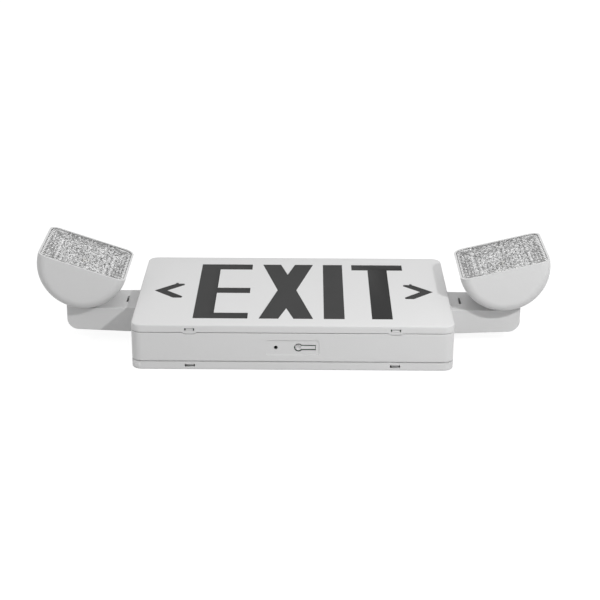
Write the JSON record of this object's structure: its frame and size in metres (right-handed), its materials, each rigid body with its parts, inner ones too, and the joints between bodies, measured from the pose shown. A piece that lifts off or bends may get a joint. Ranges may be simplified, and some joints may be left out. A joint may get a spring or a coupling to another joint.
{
  "type": "emergency exit light",
  "caption": "Shallow rounded sign box with a stencilled face, a press tongue for testing, and two swivelling half-round lamp heads on side arms.",
  "frame": {"origin": "middle of the flat back, on the axis of the wire entry", "axes": "+X along the word, towards the right lamp head; +Y the sign's up, away from the test button; +Z out of the face, away from the wall"},
  "size_m": [0.4872, 0.19, 0.0949],
  "materials": {
    "white_plastic": "satin moulded thermoplastic",
    "letter_panel": "tinted translucent panel, unlit",
    "diffuser": "matt white sheet",
    "clear_lens": "clear prismatic moulding",
    "reflector": "vacuum metallised facets",
    "dark_recess": "dark moulding",
    "board": "lacquered laminate",
    "light_chip": "phosphor resin",
    "metal": "zinc plated",
    "transformer": "varnished core and coil",
    "component": "moulded case",
    "battery_wrap": "shrink sleeve",
    "button": "satin moulded thermoplastic"
  },
  "bodies": {
    "root": {"back_cover": "white_plastic", "housing_frame": "white_plastic", "front_cover": "white_plastic", "letter_panel": "letter_panel", "diffuser_panel": "diffuser", "test_switch": "metal", "switch_board": "board", "indicator_lamp": "dark_recess", "main_board": "board", "transformer": "transformer", "relay": "component", "capacitor": "component", "terminal_block": "component", "battery_pack": "battery_wrap", "battery_clip": "metal", "light_strip_upper": "board", "light_strip_lower": "board", "light_chips_upper": "light_chip", "light_chips_lower": "light_chip", "arm_left": "white_plastic", "arm_cover_left": "white_plastic", "arm_right": "white_plastic", "arm_cover_right": "white_plastic"},
    "test_button": {"test_button": "button"},
    "swivel_left": {"saddle_left": "white_plastic", "swivel_ring_left": "metal", "clamp_shoe_left": "component", "clamp_nut_left": "metal"},
    "head_left": {"head_shell_left": "white_plastic", "lens_left": "clear_lens", "reflector_left": "reflector", "lamp_board_left": "board", "emitter_left": "light_chip"},
    "swivel_right": {"saddle_right": "white_plastic", "swivel_ring_right": "metal", "clamp_shoe_right": "component", "clamp_nut_right": "metal"},
    "head_right": {"head_shell_right": "white_plastic", "lens_right": "clear_lens", "reflector_right": "reflector", "lamp_board_right": "board", "emitter_right": "light_chip"}
  },
  "joints": [
    {"name": "pan_left", "type": "hinge", "parent": "root", "child": "swivel_left", "pos_m": [-0.2004, 0, 0.033], "axis": [0, 0, 1], "range_deg": [-90, 90]},
    {"name": "tilt_left", "type": "hinge", "parent": "swivel_left", "child": "head_left", "pos_m": [-0.2004, 0, 0.0812], "axis": [0, 1, 0], "range_deg": [-63.5, 26.5]},
    {"name": "pan_right", "type": "hinge", "parent": "root", "child": "swivel_right", "pos_m": [0.2004, 0, 0.033], "axis": [0, 0, 1], "range_deg": [-90, 90]},
    {"name": "tilt_right", "type": "hinge", "parent": "swivel_right", "child": "head_right", "pos_m": [0.2004, 0, 0.0812], "axis": [0, 1, 0], "range_deg": [-31.2, 58.8]},
    {"name": "button_press", "type": "hinge", "parent": "root", "child": "test_button", "pos_m": [0.02081, -0.0935, 0.0224], "axis": [0, 0, -1], "range_deg": [0, 3], "stiffness_Nm_per_rad": 0.6}
  ]
}
